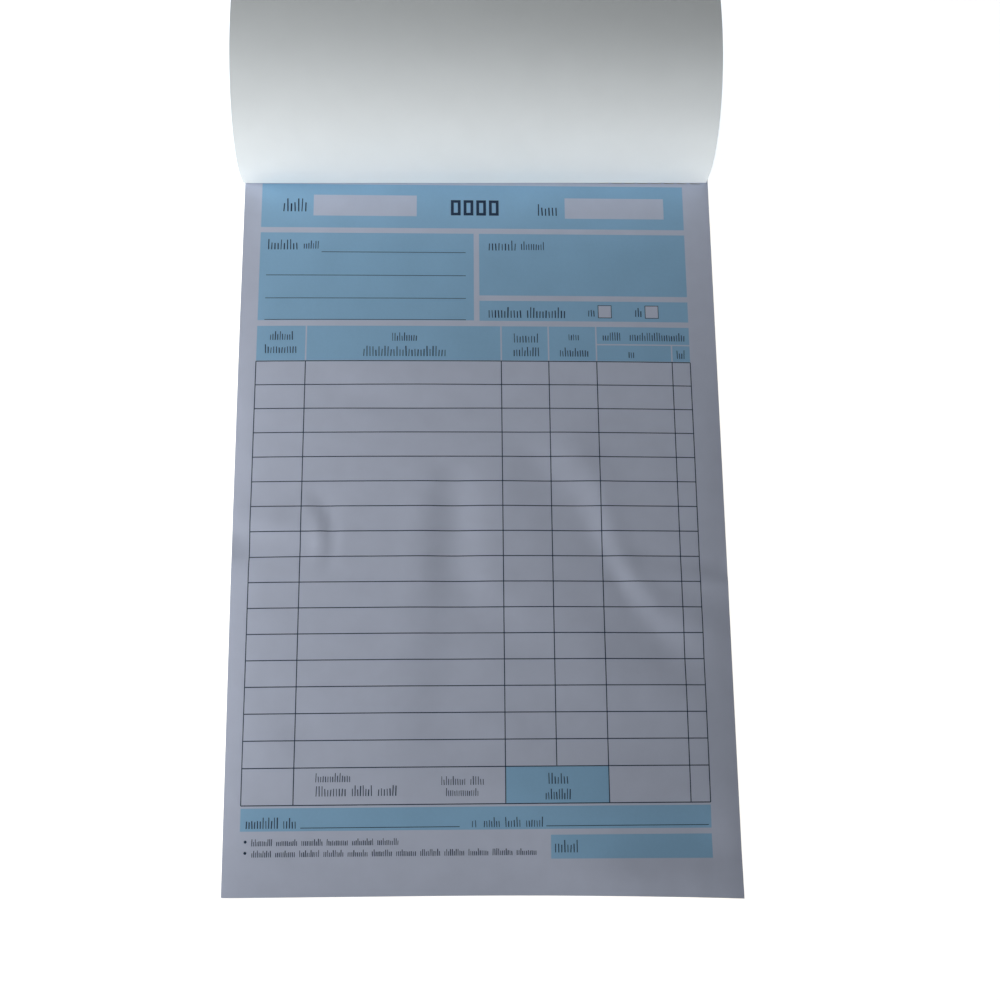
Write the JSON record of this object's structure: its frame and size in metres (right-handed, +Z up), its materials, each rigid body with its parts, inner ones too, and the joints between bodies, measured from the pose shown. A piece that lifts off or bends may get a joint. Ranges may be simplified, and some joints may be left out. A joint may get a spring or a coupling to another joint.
{
  "type": "bill book",
  "caption": "Head-bound pad of printed bill leaves with its card cover turned back over the head in a curl that rests on the table.",
  "frame": {"origin": "centre of the pad's underside, on the table: the middle of the back board's lower face", "axes": "+X across the page to its right edge, +Y along the page from its foot to its bound head, +Z up out of the page"},
  "size_m": [0.14, 0.3847, 0.0449],
  "materials": {
    "cover_card": "matte",
    "original_paper": "matte",
    "duplicate_paper": "matte",
    "leaf_block": "matte",
    "carbon_paper": "satin",
    "grey_board": "matte",
    "binding_tape": "matte",
    "staple_wire": "satin",
    "pale_blue_ink": "matte",
    "dark_ink": "matte"
  },
  "bodies": {
    "pad": {"back_board": "grey_board", "binding_tape": "binding_tape", "staple_left": "staple_wire", "staple_right": "staple_wire", "cover_flange": "cover_card", "leaf_01_duplicate": "duplicate_paper", "leaf_02_original": "original_paper", "leaf_02_duplicate": "duplicate_paper", "leaf_03_original": "original_paper", "leaf_03_duplicate": "duplicate_paper", "leaf_04_original": "original_paper", "leaf_04_duplicate": "duplicate_paper", "leaf_05_original": "original_paper", "leaf_05_duplicate": "duplicate_paper", "sets_06_to_10": "leaf_block", "sets_11_to_15": "leaf_block", "sets_16_to_20": "leaf_block", "sets_21_to_25": "leaf_block", "sets_26_to_30": "leaf_block", "sets_31_to_35": "leaf_block", "sets_36_to_40": "leaf_block", "sets_41_to_45": "leaf_block", "sets_46_to_50": "leaf_block"},
    "top_leaf": {"leaf_01_original": "original_paper"},
    "carbon": {"carbon_sheet": "carbon_paper"},
    "bend_1": {"cover_bend_1": "cover_card"},
    "bend_2": {"cover_bend_2": "cover_card"},
    "bend_3": {"cover_bend_3": "cover_card"},
    "bend_4": {"cover_bend_4": "cover_card"},
    "cover": {"cover_panel": "cover_card"}
  },
  "joints": [
    {"name": "cover_fold", "type": "hinge", "parent": "pad", "child": "bend_1", "pos_m": [0, 0.099, 0.01181], "axis": [-1, 0, 0], "range_deg": [-87.2, 0]},
    {"name": "cover_curl_1", "type": "hinge", "parent": "bend_1", "child": "bend_2", "pos_m": [0, 0.09863, 0.0242], "axis": [-1, 0, 0], "range_deg": [-36.89, 0.1]},
    {"name": "cover_curl_2", "type": "hinge", "parent": "bend_2", "child": "bend_3", "pos_m": [0, 0.10776, 0.0371], "axis": [-1, 0, 0], "range_deg": [-31.02, 0.1]},
    {"name": "cover_curl_3", "type": "hinge", "parent": "bend_3", "child": "bend_4", "pos_m": [0, 0.12536, 0.04479], "axis": [-1, 0, 0], "range_deg": [-25.16, 0.1]},
    {"name": "cover_curl_4", "type": "hinge", "parent": "bend_4", "child": "cover", "pos_m": [0, 0.14795, 0.04416], "axis": [-1, 0, 0], "range_deg": [-17.19, 0.1]},
    {"name": "top_leaf_lift", "type": "hinge", "parent": "pad", "child": "top_leaf", "pos_m": [0, 0.099, 0.0116], "axis": [-1, 0, 0], "range_deg": [0, 80], "deforming": ["leaf_01_original"]},
    {"name": "carbon_slide", "type": "slide", "parent": "pad", "child": "carbon", "axis": [0, -1, 0], "range_m": [0, 0.195]}
  ],
  "couplings": [
    {"joint": "cover_curl_1", "follows": "cover_fold", "ratio": 0.41903},
    {"joint": "cover_curl_2", "follows": "cover_fold", "ratio": 0.35221},
    {"joint": "cover_curl_3", "follows": "cover_fold", "ratio": 0.28539},
    {"joint": "cover_curl_4", "follows": "cover_fold", "ratio": 0.19466}
  ]
}
